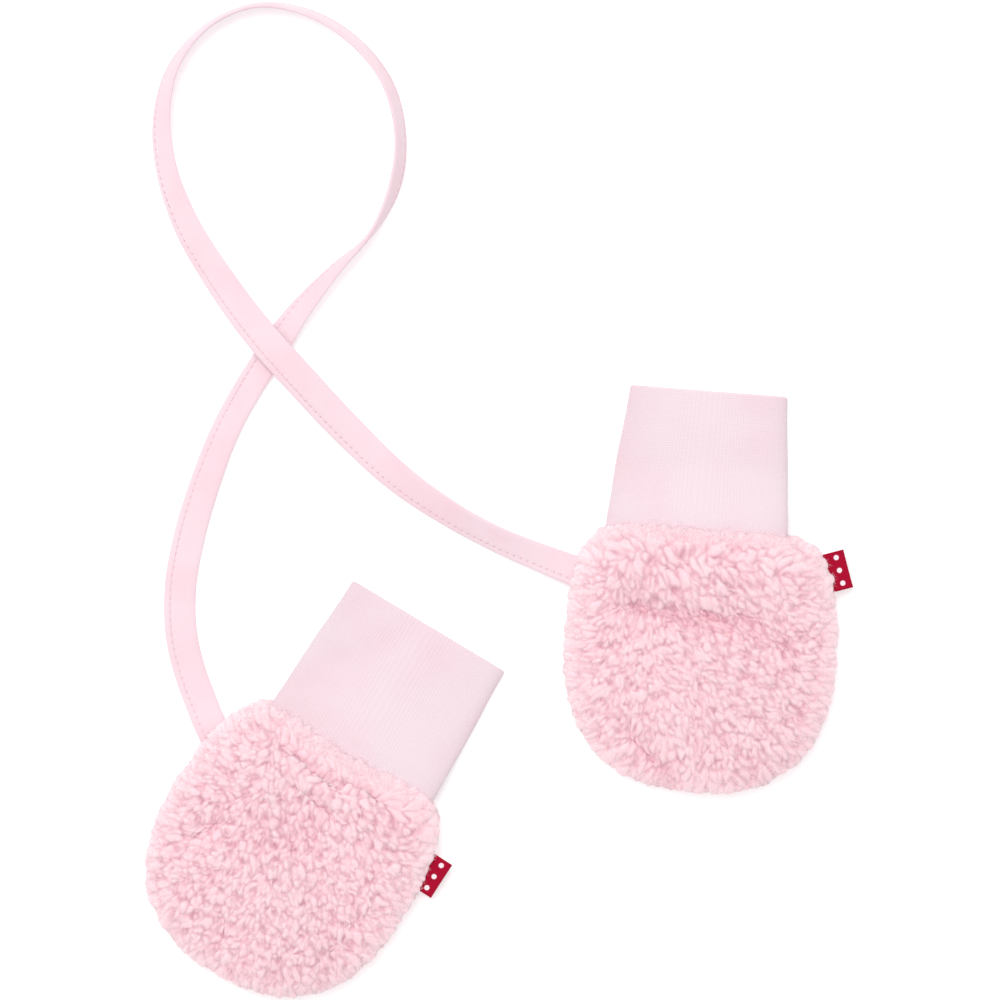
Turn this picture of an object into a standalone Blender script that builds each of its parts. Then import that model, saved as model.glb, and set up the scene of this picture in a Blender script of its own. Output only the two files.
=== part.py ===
"""A pair of baby mittens joined by a flat neck cord, laid out on a table.

Each mitten is two teddy-fleece panels lying on each other, a flat double-jersey cuff let into
their mouth and a ribbon label in the side seam. The neck cord is a flat jersey tape that runs
from one mitten's side seam, under itself, round a loop on its edge and on to the other's.
World frame: metres, +Z up from the table, +Y away from the fleece towards the loop.
"""
import math

import bmesh
import bpy
import numpy as np

MM = 0.001
CLEAR = 0.3 * MM                 # gap kept at every seam

# ---- fleece body, in the mitten's own frame: +Y to the cuff, origin on its widest line.
# The outline reaches to the tips of the pile.
UPPER_REACH = 54.0 * MM          # to where the shoulders' curve would close
LOWER_ROUND = 2.38               # superellipse exponent of the bottom
MOUTH_LINE = 45.0 * MM           # straight top edge, where the cuff comes out
MOUTH_CORNER = 14.0              # the higher, the sharper the corners of that edge
SEAM_HEIGHT = 6.5 * MM           # the side seam above the table
RIM_TOP = 12.6 * MM              # top of the rounded rim
DOME = 2.4 * MM                  # extra height in the middle
TOP_ROUNDING = 0.21              # share of the reach that the rim's top takes to round over
UNDER_ROUNDING = 0.15            # and its underside
INNER_BULGE = 0.9 * MM           # the two panels meet a little higher in the middle
AROUND = 52                      # points round a panel
TOP_RINGS, UNDER_RINGS, INNER_RINGS = 12, 7, 3

# ---- cuff
CUFF_WALL = 1.8 * MM             # two layers of interlock
CUFF_HOLLOW = 0.4 * MM           # left between the flattened walls
CUFF_INSIDE = 3.4 * MM           # seam allowance that goes in between the panels
CUFF_FALL = 21.0 * MM            # length over which it comes down from the seam to the table
CUFF_STATIONS = 12
CUFF_FLAT_POINTS = 6             # points along each flat side of a section
CUFF_FOLD_POINTS = 5             # points round each side fold
CUFF_EDGE_ROUND = 0.6 * MM       # rounding of the folded open edge

# ---- label, a ribbon folded in two
LABEL_ALONG = 13.8 * MM          # along the seam
LABEL_OUT = 7.3 * MM             # what shows of it
LABEL_IN = 3.6 * MM              # what the seam holds
LABEL_THICK = 1.2 * MM
LABEL_EDGE_ROUND = 0.35 * MM
LABEL_DROOP = math.radians(7.0)  # its outer edge hangs a little

# ---- neck cord
CORD_THICK = 1.8 * MM
CORD_OFF_TABLE = 0.2 * MM
CORD_POINTS = 78
CORD_CORNER = 0.55 * MM          # the folded edges are rounded off by this much
CORD_END_POINTS = 5              # those at each end that its seam is cleared along
WELD = 0.02 * MM                 # joins the tape's caps to its sides

# How each mitten lies: its place, its turn from +Y (clockwise is negative), and how its cloth
# happens to spread. lower_reach goes from the widest line to the rounded bottom, lean is the
# sideways drift for each metre of height, shoulder_round the superellipse exponent of the
# shoulders, and cuff_shift the cuff's drift at its two ends.
MITTENS = (
    dict(name="right", x=69.2 * MM, y=13.0 * MM, turn=-4.5,
         half_width=47.9 * MM, lower_reach=48.9 * MM, lean=-0.02, shoulder_round=2.95,
         cuff_shift=(-4.5 * MM, -3.8 * MM), cuff_width=(63.2 * MM, 55.2 * MM), cuff_end=91.5 * MM,
         label_y=31.4 * MM, label_turn=19.0),
    dict(name="left", x=-74.2 * MM, y=-55.9 * MM, turn=-31.0,
         half_width=46.7 * MM, lower_reach=50.1 * MM, lean=0.01, shoulder_round=2.7,
         cuff_shift=(1.4 * MM, 1.6 * MM), cuff_width=(65.6 * MM, 62.0 * MM), cuff_end=92.3 * MM,
         label_y=18.6 * MM, label_turn=-2.0),
)

# Soft folds of the front panels: the middle and the half length and half width of each, its
# turn from +X, and its height above or below the dome. In the mitten's frame, millimetres.
FOLD_COLUMNS = ("x", "y", "half_length", "half_width", "turn", "rise")
FOLDS = dict(
    right=(
        (0.0, 28.0, 40.0, 9.0, 0.0, 1.9),
        (3.0, 11.5, 38.0, 4.6, -6.0, -1.9),
        (-19.0, -33.0, 13.0, 3.6, -42.0, -1.3),
        (-12.0, -20.0, 15.0, 7.0, -38.0, 0.7),
    ),
    left=(
        (4.0, 31.0, 36.0, 6.5, 6.0, 1.5),
        (-7.0, 19.0, 20.0, 4.2, -10.0, -1.5),
        (15.0, -22.0, 15.0, 4.6, 52.0, -0.9),
        (-18.0, -14.0, 16.0, 7.0, -55.0, 0.7),
    ),
)

# The neck cord's route, in millimetres from the origin: middle of the tape, lift of its lower
# side off the table, roll (0 and 180 lie flat, 90 stands on the stitched edge) and width.
ROUTE_COLUMNS = ("x", "y", "lift", "roll", "width")
ROUTE = (
    (-98.8, -17.0, 5.6, 0, 11.2),
    (-101.9, -10.6, 4.9, 0, 11.2),
    (-105.0, -3.5, 2.4, 0, 11.3),
    (-108.5, 5.1, 0.3, 0, 11.3),
    (-111.8, 18.7, 0.0, 0, 11.3),
    (-112.3, 34.7, 0.0, 0, 11.2),
    (-109.3, 52.7, 0.0, 0, 11.2),
    (-103.7, 72.3, 0.0, 3, 10.7),
    (-95.3, 92.9, 0.0, 6, 10.2),
    (-86.4, 109.1, 0.0, 7, 10.1),
    (-79.9, 119.0, 0.0, 9, 10.1),
    (-70.8, 131.9, 0.0, 38, 10.4),
    (-58.0, 146.7, 0.0, 66, 10.8),
    (-44.9, 160.0, 0.0, 90, 11.0),
    (-37.2, 176.0, 0.0, 107, 11.0),
    (-35.2, 193.6, 0.0, 108, 11.0),
    (-39.7, 211.9, 0.0, 109, 11.0),
    (-51.8, 227.0, 0.0, 109, 11.0),
    (-67.3, 236.2, 0.0, 106, 11.0),
    (-85.4, 238.8, 0.0, 101, 11.0),
    (-102.6, 231.5, 0.0, 103, 11.0),
    (-114.7, 216.5, 0.0, 114, 11.0),
    (-118.5, 198.4, 0.0, 127, 11.1),
    (-116.6, 180.7, 0.0, 135, 11.1),
    (-110.3, 163.2, 0.0, 148, 11.2),
    (-100.6, 146.8, 0.6, 160, 11.3),
    (-89.8, 131.4, 3.2, 172, 11.4),
    (-79.6, 118.8, 4.2, 176, 11.6),
    (-68.9, 106.9, 2.8, 178, 11.7),
    (-53.6, 90.7, 0.1, 176, 11.5),
    (-33.1, 71.9, 0.0, 160, 11.0),
    (-17.5, 61.1, 0.0, 150, 10.6),
    (-1.1, 52.5, 0.3, 152, 10.3),
    (12.9, 46.6, 2.0, 166, 10.2),
    (23.8, 42.4, 4.8, 180, 10.6),
    (30.6, 40.0, 5.6, 180, 11.0),
)

FLEECE_PINK = (0.93, 0.62, 0.69)
JERSEY_PINK = (0.95, 0.71, 0.77)
LABEL_RED = (0.42, 0.006, 0.035)


def clear_scene():
    """Start from nothing: objects left in the file would be built too."""
    for left_over in list(bpy.data.objects):
        bpy.data.objects.remove(left_over, do_unlink=True)


def new_collection(name):
    collection = bpy.data.collections.new(name)
    bpy.context.scene.collection.children.link(collection)
    return collection


def cloth_material(name, colour, roughness):
    material = bpy.data.materials.new(name)
    material.use_nodes = True
    shader = material.node_tree.nodes["Principled BSDF"]
    shader.inputs["Base Color"].default_value = (*colour, 1.0)
    shader.inputs["Roughness"].default_value = roughness
    shader.inputs["Metallic"].default_value = 0.0
    return material


def mesh_object(name, points, faces, collection, parent=None):
    mesh = bpy.data.meshes.new(name)
    mesh.from_pydata(np.asarray(points).tolist(), [], faces)
    mesh.validate()
    mesh.shade_smooth()
    made = bpy.data.objects.new(name, mesh)
    collection.objects.link(made)
    made.parent = parent
    return made


def as_cutter(made):
    """A tool body: cut from its neighbours, never part of the model."""
    made.hide_render = True
    made.display_type = "WIRE"
    return made


def cut(target, cutter):
    step = target.modifiers.new("clear of " + cutter.name, "BOOLEAN")
    step.operation = "DIFFERENCE"
    step.solver = "EXACT"
    step.object = cutter


# ------------------------------------------------------------------ fleece panels
def body_reach(angles, mitten):
    """Distance of the outline from the middle: two superellipses, cut by the mouth's line."""
    across, along = np.cos(angles), np.sin(angles)
    above = along > 0.0
    power = np.where(above, mitten["shoulder_round"], LOWER_ROUND)
    height = np.where(above, UPPER_REACH, mitten["lower_reach"])
    reach = np.abs(across / mitten["half_width"]) ** power + np.abs(along / height) ** power
    reach = reach ** (-1.0 / power)
    to_mouth = MOUTH_LINE / np.maximum(along, 1e-6)
    return (reach ** -MOUTH_CORNER + to_mouth ** -MOUTH_CORNER) ** (-1.0 / MOUTH_CORNER)


def rounded_rim(share, rounding):
    """1 in the middle, falling to 0 at the rim along a quarter ellipse."""
    over = np.clip((share - (1.0 - rounding)) / rounding, 0.0, 1.0)
    return np.sqrt(1.0 - over ** 2)


def fold_height(x, y, name):
    """Sum of the mitten's soft folds: a bell across each, a flat-topped bell along it."""
    height = np.zeros_like(x)
    for row in FOLDS[name]:
        fold = dict(zip(FOLD_COLUMNS, row))
        turn = math.radians(fold["turn"])
        from_x, from_y = x - fold["x"] * MM, y - fold["y"] * MM
        along = from_x * math.cos(turn) + from_y * math.sin(turn)
        across = from_y * math.cos(turn) - from_x * math.sin(turn)
        bell = np.exp(-(across / (fold["half_width"] * MM)) ** 2
                      - (along / (fold["half_length"] * MM)) ** 4)
        height += fold["rise"] * MM * bell
    return height


def panel_rings(mitten, rings):
    """Plan of a panel: its middle, then rings that close up towards the rim."""
    step = np.linspace(0.0, 1.0, rings + 1)[1:]
    share = (step * (2.0 - step))[:, None] * np.ones(AROUND)
    angles = np.linspace(0.0, 2.0 * math.pi, AROUND, endpoint=False)[None, :]
    reach = share * body_reach(angles, mitten)
    share = np.append(0.0, share.ravel())
    x = np.append(0.0, (reach * np.cos(angles)).ravel())
    y = np.append(0.0, (reach * np.sin(angles)).ravel())
    return share, x + mitten["lean"] * y, y


def meeting_height(share):
    return SEAM_HEIGHT + INNER_BULGE * (1.0 - share ** 2)


def front_top(share, x, y, name):
    low = SEAM_HEIGHT + CLEAR / 2
    full = RIM_TOP + DOME * (1.0 - share ** 2) + fold_height(x, y, name)
    return low + (full - low) * rounded_rim(share, TOP_ROUNDING)


def back_under(share):
    return (SEAM_HEIGHT - CLEAR / 2) * (1.0 - rounded_rim(share, UNDER_ROUNDING))


def fan_faces(rings, first, rim_first, upward):
    """Faces of one side of a panel. Its last ring is the rim, shared by both sides."""
    def point(ring, column):
        start = rim_first if ring == rings - 1 else first + 1 + ring * AROUND
        return start + column % AROUND

    faces = []
    for column in range(AROUND):
        faces.append((first, point(0, column), point(0, column + 1)))
        for ring in range(rings - 1):
            faces.append((point(ring, column), point(ring + 1, column),
                          point(ring + 1, column + 1), point(ring, column + 1)))
    return faces if upward else [face[::-1] for face in faces]


def panel(name, mitten, top, under, collection, parent):
    """A closed panel from its two sides, each (rings, height function)."""
    points, faces, rim_first = [], [], 0
    for (rings, height), upward in ((top, True), (under, False)):
        share, x, y = panel_rings(mitten, rings)
        side = np.column_stack([x, y, height(share, x, y)])
        first = sum(len(block) for block in points)
        if upward:
            rim_first = 1 + (rings - 1) * AROUND
            points.append(side)
        else:
            points.append(side[:-AROUND])
        faces += fan_faces(rings, first, rim_first, upward)
    return mesh_object(name, np.concatenate(points), faces, collection, parent)


def front_panel(mitten, collection, parent):
    return panel(
        mitten["name"] + "_front_panel", mitten,
        (TOP_RINGS, lambda share, x, y: front_top(share, x, y, mitten["name"])),
        (INNER_RINGS, lambda share, x, y: meeting_height(share) + CLEAR / 2),
        collection, parent)


def back_panel(mitten, collection, parent):
    return panel(
        mitten["name"] + "_back_panel", mitten,
        (INNER_RINGS, lambda share, x, y: meeting_height(share) - CLEAR / 2),
        (UNDER_RINGS, lambda share, x, y: back_under(share)),
        collection, parent)


# ------------------------------------------------------------------ cuffs
def flat_ring(half_width, half_height):
    """Section of a flattened tube: straight top and bottom, half-round side folds."""
    fold = np.linspace(-math.pi / 2, math.pi / 2, CUFF_FOLD_POINTS)
    straight = np.linspace(1.0, -1.0, CUFF_FLAT_POINTS + 2)[1:-1]
    corner = half_width - half_height
    right = np.column_stack([corner + half_height * np.cos(fold), half_height * np.sin(fold)])
    top = np.column_stack([corner * straight, np.full(CUFF_FLAT_POINTS, half_height)])
    return np.concatenate([right, top, -right, -top])


def cuff_sections(mitten, grow=0.0, start_grow=0.0):
    """Stations along the cuff: y, half width, and the x and height of the section's middle."""
    start = MOUTH_LINE - CUFF_INSIDE - start_grow
    end = mitten["cuff_end"]
    y = np.linspace(start, end, CUFF_STATIONS)
    share = np.clip((y - MOUTH_LINE) / (end - MOUTH_LINE), 0.0, 1.0)
    width = np.interp(share, (0.0, 1.0), mitten["cuff_width"])
    shift = np.interp(share, (0.0, 1.0), mitten["cuff_shift"])
    fall = np.clip((y - MOUTH_LINE) / CUFF_FALL, 0.0, 1.0)
    resting = CUFF_WALL + CUFF_HOLLOW / 2
    middle = SEAM_HEIGHT + (resting - SEAM_HEIGHT) * fall ** 2 * (3.0 - 2.0 * fall)
    return y, width / 2 + grow, shift, middle


def ring_points(y, half_width, half_height, shift, middle):
    ring = flat_ring(half_width, half_height)
    return np.column_stack([ring[:, 0] + shift, np.full(len(ring), y), ring[:, 1] + middle])


def skin_faces(stations, around, first, outward):
    faces = []
    for station in range(stations - 1):
        for column in range(around):
            a = first + station * around + column
            b = first + station * around + (column + 1) % around
            face = (a, b, b + around, a + around)
            faces.append(face[::-1] if outward else face)
    return faces


def cuff(mitten, collection, parent):
    """Outer skin up the outside and inner skin back down, closed at both ends."""
    half_height = CUFF_WALL + CUFF_HOLLOW / 2
    y, half_width, shift, middle = (np.append(row, row[-1]) for row in cuff_sections(mitten))
    y[-2] -= CUFF_EDGE_ROUND
    shrink = np.zeros(len(y))
    shrink[-1] = CUFF_EDGE_ROUND
    outer_width, outer_height = half_width - shrink, half_height - shrink
    outer = [ring_points(*row) for row in zip(y, outer_width, outer_height, shift, middle)]
    inner_width, inner_height = half_width - CUFF_WALL + shrink / 2, CUFF_HOLLOW / 2 + shrink / 2
    inner = [ring_points(*row) for row in zip(y, inner_width, inner_height, shift, middle)]
    stations, around = len(y), len(outer[0])
    points = np.concatenate(outer + inner)
    inner_first = stations * around
    faces = skin_faces(stations, around, 0, True) + skin_faces(stations, around, inner_first, False)
    for station, opens_up in ((0, False), (stations - 1, True)):
        for column in range(around):
            a, b = (station * around + step % around for step in (column, column + 1))
            face = (a, b, inner_first + b, inner_first + a)
            faces.append(face[::-1] if opens_up else face)
    return mesh_object(mitten["name"] + "_cuff", points, faces, collection, parent)


def cuff_cutter(mitten, collection, parent):
    """The cuff's hull grown by the seam's gap, as one plain solid."""
    half_height = CUFF_WALL + CUFF_HOLLOW / 2 + CLEAR
    rings = [ring_points(y, half_width, half_height, shift, middle)
             for y, half_width, shift, middle in zip(*cuff_sections(mitten, CLEAR, CLEAR))]
    around, last = len(rings[0]), (len(rings) - 1) * len(rings[0])
    faces = skin_faces(len(rings), around, 0, True)
    faces.append(tuple(range(around)))
    faces.append(tuple(last + column for column in reversed(range(around))))
    name = mitten["name"] + "_cuff_space"
    return as_cutter(mesh_object(name, np.concatenate(rings), faces, collection, parent))


# ------------------------------------------------------------------ labels
def label_slab(name, mitten, grow, collection, parent):
    """A folded ribbon standing out of the right-hand seam, its outer edge drooping."""
    level = mitten["label_y"]
    power = mitten["shoulder_round"]
    rim = mitten["half_width"] * (1.0 - (level / UPPER_REACH) ** power) ** (1.0 / power)
    turn = math.radians(mitten["label_turn"])
    middle_out = (LABEL_OUT - LABEL_IN) / 2
    bpy.ops.mesh.primitive_cube_add(size=1.0)
    slab = bpy.context.object
    slab.name = name
    slab.data.name = name
    slab.scale = (LABEL_OUT + LABEL_IN + 2 * grow, LABEL_ALONG + 2 * grow, LABEL_THICK + 2 * grow)
    bpy.ops.object.transform_apply(location=False, rotation=False, scale=True)
    for owner in list(slab.users_collection):
        owner.objects.unlink(slab)
    collection.objects.link(slab)
    slab.parent = parent
    slab.rotation_euler = (0.0, LABEL_DROOP, turn)
    slab.location = (
        rim + mitten["lean"] * level + middle_out * math.cos(turn),
        level + middle_out * math.sin(turn),
        SEAM_HEIGHT - middle_out * math.sin(LABEL_DROOP),
    )
    return slab


def label(mitten, collection, parent):
    slab = label_slab(mitten["name"] + "_label", mitten, 0.0, collection, parent)
    soften = slab.modifiers.new("soft edges", "BEVEL")
    soften.width = LABEL_EDGE_ROUND
    soften.segments = 2
    return slab


# ------------------------------------------------------------------ neck cord
def smooth_route():
    """The route's columns as a smooth curve: cubic Hermite pieces, points evenly spaced."""
    rows = np.array(ROUTE)
    lengths = [column != "roll" for column in ROUTE_COLUMNS]
    rows[:, lengths] *= MM
    at = np.append(0.0, np.cumsum(np.hypot(*np.diff(rows[:, :2], axis=0).T)))
    slope = np.gradient(rows, at, axis=0)
    spots = np.linspace(0.0, at[-1], CORD_POINTS)
    piece = np.clip(np.searchsorted(at, spots, side="right") - 1, 0, len(at) - 2)
    span = (at[piece + 1] - at[piece])[:, None]
    t = ((spots - at[piece]) / span[:, 0])[:, None]
    onward = t ** 2 * (3 - 2 * t)
    table = rows[piece] * (1 - onward) + rows[piece + 1] * onward
    table += span * (t * (1 - t) ** 2 * slope[piece] - t ** 2 * (1 - t) * slope[piece + 1])
    return dict(zip(ROUTE_COLUMNS, table.T))


def tape_profile(name, width, thick, collection):
    """Section of the tape as a closed flat curve: a rectangle with its corners taken off."""
    half_w, half_t, corner = width / 2, thick / 2, CORD_CORNER
    outline = [(half_w, half_t - corner), (half_w - corner, half_t),
               (corner - half_w, half_t), (-half_w, half_t - corner)]
    outline += [(-x, -y) for x, y in outline]
    data = bpy.data.curves.new(name, "CURVE")
    data.dimensions = "2D"
    spline = data.splines.new("POLY")
    spline.points.add(len(outline) - 1)
    for spot, (x, y) in zip(spline.points, outline):
        spot.co = (x, y, 0.0, 1.0)
    spline.use_cyclic_u = True
    made = bpy.data.objects.new(name, data)
    collection.objects.link(made)
    return as_cutter(made)


def tape(name, route, grow, collection, tools):
    """A length of the tape, swept along the route and rolled about it, then made a mesh."""
    width = float(np.mean(route["width"]))
    profile = tape_profile(name + "_section", width + 2 * grow, CORD_THICK + 2 * grow, tools)
    data = bpy.data.curves.new(name, "CURVE")
    data.dimensions = "3D"
    data.twist_mode = "Z_UP"
    data.bevel_mode = "OBJECT"
    data.bevel_object = profile
    data.use_fill_caps = True
    spline = data.splines.new("POLY")
    spline.points.add(len(route["x"]) - 1)
    roll = np.radians(route["roll"])
    middle = (route["lift"] + CORD_OFF_TABLE + route["width"] / 2 * np.abs(np.sin(roll))
              + CORD_THICK / 2 * np.abs(np.cos(roll)))
    for index, spot in enumerate(spline.points):
        spot.co = (route["x"][index], route["y"][index], middle[index], 1.0)
        spot.tilt = -roll[index]
        spot.radius = route["width"][index] / width
    swept = bpy.data.objects.new(name + "_sweep", data)
    tools.objects.link(swept)
    bpy.context.view_layer.update()
    depsgraph = bpy.context.evaluated_depsgraph_get()
    mesh = bpy.data.meshes.new_from_object(swept.evaluated_get(depsgraph))
    weld_caps(mesh)
    mesh.name = name
    made = bpy.data.objects.new(name, mesh)
    collection.objects.link(made)
    bpy.data.objects.remove(swept, do_unlink=True)
    return made


def weld_caps(mesh):
    """Join the caps to the sides and turn every face outward."""
    work = bmesh.new()
    work.from_mesh(mesh)
    bmesh.ops.remove_doubles(work, verts=work.verts, dist=WELD)
    bmesh.ops.recalc_face_normals(work, faces=work.faces)
    work.to_mesh(mesh)
    work.free()


def end_of(route, side):
    """The part of the route that is let into a seam, for the tool that clears it."""
    part = slice(0, CORD_END_POINTS) if side == "left" else slice(-CORD_END_POINTS, None)
    stretch = {column: values[part].copy() for column, values in route.items()}
    last, before = (0, 1) if side == "left" else (-1, -2)
    run = math.hypot(*(stretch[axis][last] - stretch[axis][before] for axis in "xy"))
    for axis in "xy":
        stretch[axis][last] += (stretch[axis][last] - stretch[axis][before]) * 2 * CLEAR / run
    return stretch


# ------------------------------------------------------------------ the pair
def mitten(row, pieces, tools):
    """One mitten under an empty that gives its place and turn."""
    place = bpy.data.objects.new(row["name"] + "_place", None)
    pieces.objects.link(place)
    place.location = (row["x"], row["y"], 0.0)
    place.rotation_euler = (0.0, 0.0, math.radians(row["turn"]))
    made = dict(
        front=front_panel(row, pieces, place),
        back=back_panel(row, pieces, place),
        cuff=cuff(row, pieces, place),
        label=label(row, pieces, place),
    )
    spaces = [cuff_cutter(row, tools, place),
              as_cutter(label_slab(row["name"] + "_label_space", row, CLEAR, tools, place))]
    for side in ("front", "back"):
        for space in spaces:
            cut(made[side], space)
    return made


def build():
    clear_scene()
    pieces = new_collection("baby_mittens")
    tools = new_collection("cutters")
    fleece = cloth_material("teddy_fleece", FLEECE_PINK, 0.95)
    interlock = cloth_material("cotton_interlock", JERSEY_PINK, 0.85)
    ribbon = cloth_material("label_ribbon", LABEL_RED, 0.6)
    jersey = cloth_material("cotton_jersey", JERSEY_PINK, 0.85)

    route = smooth_route()
    cord = tape("neck_cord", route, 0.0, pieces, tools)
    cord.data.materials.append(jersey)
    for row in MITTENS:
        made = mitten(row, pieces, tools)
        cord_end = end_of(route, row["name"])
        cord_space = as_cutter(tape(row["name"] + "_cord_space", cord_end, CLEAR, tools, tools))
        for side in ("front", "back"):
            cut(made[side], cord_space)
            made[side].data.materials.append(fleece)
        made["cuff"].data.materials.append(interlock)
        made["label"].data.materials.append(ribbon)


build()
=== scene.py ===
import math

import bpy
import numpy as np
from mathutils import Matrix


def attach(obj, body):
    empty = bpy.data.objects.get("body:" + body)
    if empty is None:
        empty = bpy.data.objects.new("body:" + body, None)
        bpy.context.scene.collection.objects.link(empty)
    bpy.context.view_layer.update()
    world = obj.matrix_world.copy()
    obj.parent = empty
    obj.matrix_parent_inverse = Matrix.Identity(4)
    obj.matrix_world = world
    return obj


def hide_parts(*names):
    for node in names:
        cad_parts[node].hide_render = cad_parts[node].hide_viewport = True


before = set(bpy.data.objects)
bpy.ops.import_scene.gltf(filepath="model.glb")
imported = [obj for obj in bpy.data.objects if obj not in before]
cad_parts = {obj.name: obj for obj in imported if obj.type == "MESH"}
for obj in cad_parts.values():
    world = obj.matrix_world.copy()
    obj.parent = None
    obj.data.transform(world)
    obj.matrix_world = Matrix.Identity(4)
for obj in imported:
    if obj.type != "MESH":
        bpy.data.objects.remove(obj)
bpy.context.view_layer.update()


# =====================================================================================
# Table, lamp and camera. The pair lies on a white table under one large soft box behind
# and to the left of it, with white walls all round; the camera looks straight down.
# =====================================================================================
MM = 0.001
CAMERA_HEIGHT, CAMERA_SIGHT = 1.33, 20.0  # nothing beyond its sight is drawn
VIEW_WIDTH = 0.35                   # how much of the table the camera takes in
VIEW_MIDDLE = (-0.45 * MM, 66.4 * MM)
SENSOR = 36.0                       # the camera's own units, millimetres
TABLE_REACH = 3.0                   # half of its width
TABLE_WHITE = 0.86
TABLE_GLOW = 0.28                   # it is lit from below a little, so shadows stay faint
WALL_LIGHT = 0.80
BOX_PLACE, BOX_AIM = (-0.32, 0.60, 1.45), (0.0, 0.07, 0.0)
BOX_SIZE = 0.8
BOX_POWER = 13.5


def in_scene(name, data):
    """A new object with this data, linked to the scene."""
    made = bpy.data.objects.new(name, data)
    bpy.context.scene.collection.objects.link(made)
    return made


def shader(name, colour, roughness, finish):
    """A material with one Principled shader; the finish holds its other inputs. Returns both."""
    material = bpy.data.materials.new(name)
    material.use_nodes = True
    surface = material.node_tree.nodes["Principled BSDF"]
    for key, value in {"Base Color": (*colour, 1.0), "Roughness": roughness, **finish}.items():
        surface.inputs[key].default_value = value
    return material, surface


def table_and_light():
    """The camera straight above the pair, the white walls, the soft box turned to its aim, and
    the table: one square face."""
    scene = bpy.context.scene
    camera = bpy.data.cameras.new("camera")
    camera.sensor_width = SENSOR
    camera.lens = SENSOR * CAMERA_HEIGHT / VIEW_WIDTH
    camera.clip_end = CAMERA_SIGHT
    scene.camera = in_scene("camera", camera)
    scene.camera.location = (*VIEW_MIDDLE, CAMERA_HEIGHT)

    scene.world = bpy.data.worlds.new("white room")
    scene.world.use_nodes = True
    walls = scene.world.node_tree.nodes["Background"]
    walls.inputs["Color"].default_value = (1.0, 1.0, 1.0, 1.0)
    walls.inputs["Strength"].default_value = WALL_LIGHT
    scene.view_settings.view_transform = "Standard"

    soft_box = bpy.data.lights.new("soft box", "AREA")
    soft_box.shape = "SQUARE"
    soft_box.size = BOX_SIZE
    soft_box.energy = BOX_POWER
    lamp = in_scene("soft box", soft_box)
    lamp.location = BOX_PLACE
    aim = np.array(BOX_AIM) - np.array(BOX_PLACE)
    lamp.rotation_euler = (math.acos(-aim[2] / np.linalg.norm(aim)), 0.0,
                           math.atan2(-aim[0], aim[1]))

    corners = TABLE_REACH * np.array([(-1, -1, 0), (1, -1, 0), (1, 1, 0), (-1, 1, 0)])
    mesh = bpy.data.meshes.new("table")
    mesh.from_pydata(corners.tolist(), [], [(0, 1, 2, 3)])
    mesh.materials.append(shader("table_white", (TABLE_WHITE,) * 3, 0.9, {
        "Specular IOR Level": 0.1, "Emission Color": (1.0, 1.0, 1.0, 1.0),
        "Emission Strength": TABLE_GLOW})[0])
    in_scene("table", mesh)


table_and_light()


# =====================================================================================
# Neck cord. A strip of cotton jersey folded in four to a flat tape 11 mm wide and
# topstitched along its open edge; each end is caught in a mitten's side seam.
# =====================================================================================
# The route, in millimetres: middle of the tape, lift of its lower side off the table, roll
# (0 and 180 lie flat, 90 stands on the stitched edge) and width.
ROUTE_COLUMNS = ("x", "y", "lift", "roll", "width")
ROUTE = (
    (-98.8, -17.0, 5.6, 0, 11.2),
    (-101.9, -10.6, 4.9, 0, 11.2),
    (-105.0, -3.5, 2.4, 0, 11.3),
    (-108.5, 5.1, 0.3, 0, 11.3),
    (-111.8, 18.7, 0.0, 0, 11.3),
    (-112.3, 34.7, 0.0, 0, 11.2),
    (-109.3, 52.7, 0.0, 0, 11.2),
    (-103.7, 72.3, 0.0, 3, 10.7),
    (-95.3, 92.9, 0.0, 6, 10.2),
    (-86.4, 109.1, 0.0, 7, 10.1),
    (-79.9, 119.0, 0.0, 9, 10.1),
    (-70.8, 131.9, 0.0, 38, 10.4),
    (-58.0, 146.7, 0.0, 66, 10.8),
    (-44.9, 160.0, 0.0, 90, 11.0),
    (-37.2, 176.0, 0.0, 107, 11.0),
    (-35.2, 193.6, 0.0, 108, 11.0),
    (-39.7, 211.9, 0.0, 109, 11.0),
    (-51.8, 227.0, 0.0, 109, 11.0),
    (-67.3, 236.2, 0.0, 106, 11.0),
    (-85.4, 238.8, 0.0, 101, 11.0),
    (-102.6, 231.5, 0.0, 103, 11.0),
    (-114.7, 216.5, 0.0, 114, 11.0),
    (-118.5, 198.4, 0.0, 127, 11.1),
    (-116.6, 180.7, 0.0, 135, 11.1),
    (-110.3, 163.2, 0.0, 148, 11.2),
    (-100.6, 146.8, 0.6, 160, 11.3),
    (-89.8, 131.4, 3.2, 172, 11.4),
    (-79.6, 118.8, 4.2, 176, 11.6),
    (-68.9, 106.9, 2.8, 178, 11.7),
    (-53.6, 90.7, 0.1, 176, 11.5),
    (-33.1, 71.9, 0.0, 160, 11.0),
    (-17.5, 61.1, 0.0, 150, 10.6),
    (-1.1, 52.5, 0.3, 152, 10.3),
    (12.9, 46.6, 2.0, 166, 10.2),
    (23.8, 42.4, 4.8, 180, 10.6),
    (30.6, 40.0, 5.6, 180, 11.0),
)
CORD_THICK = 1.8 * MM
CORD_OFF_TABLE = 0.2 * MM           # it is springy, so it hardly touches the table
CORD_STEP = 0.5 * MM                # stations along it, five to a stitch
CORD_ACROSS = 20                    # points over each face
CORD_MAP_ROWS = 5                   # the long strip is laid in five rows on its bake map
STITCH_IN = 2.3 * MM                # topstitch, from the open edge
STITCH_PITCH = 2.5 * MM
STITCH_SINK = 0.24 * MM             # the furrow's depth, half as much again at a needle hole
STITCH_SPREAD = 0.5 * MM            # the furrow's half width
STITCH_DEEP = 0.22 * MM             # a stitch's middle lies this far under the flat face
STITCH_HALF = (0.62 * MM, 0.17 * MM, 0.13 * MM)
HOLE_RADIUS = 0.30 * MM             # of a needle hole
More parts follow.
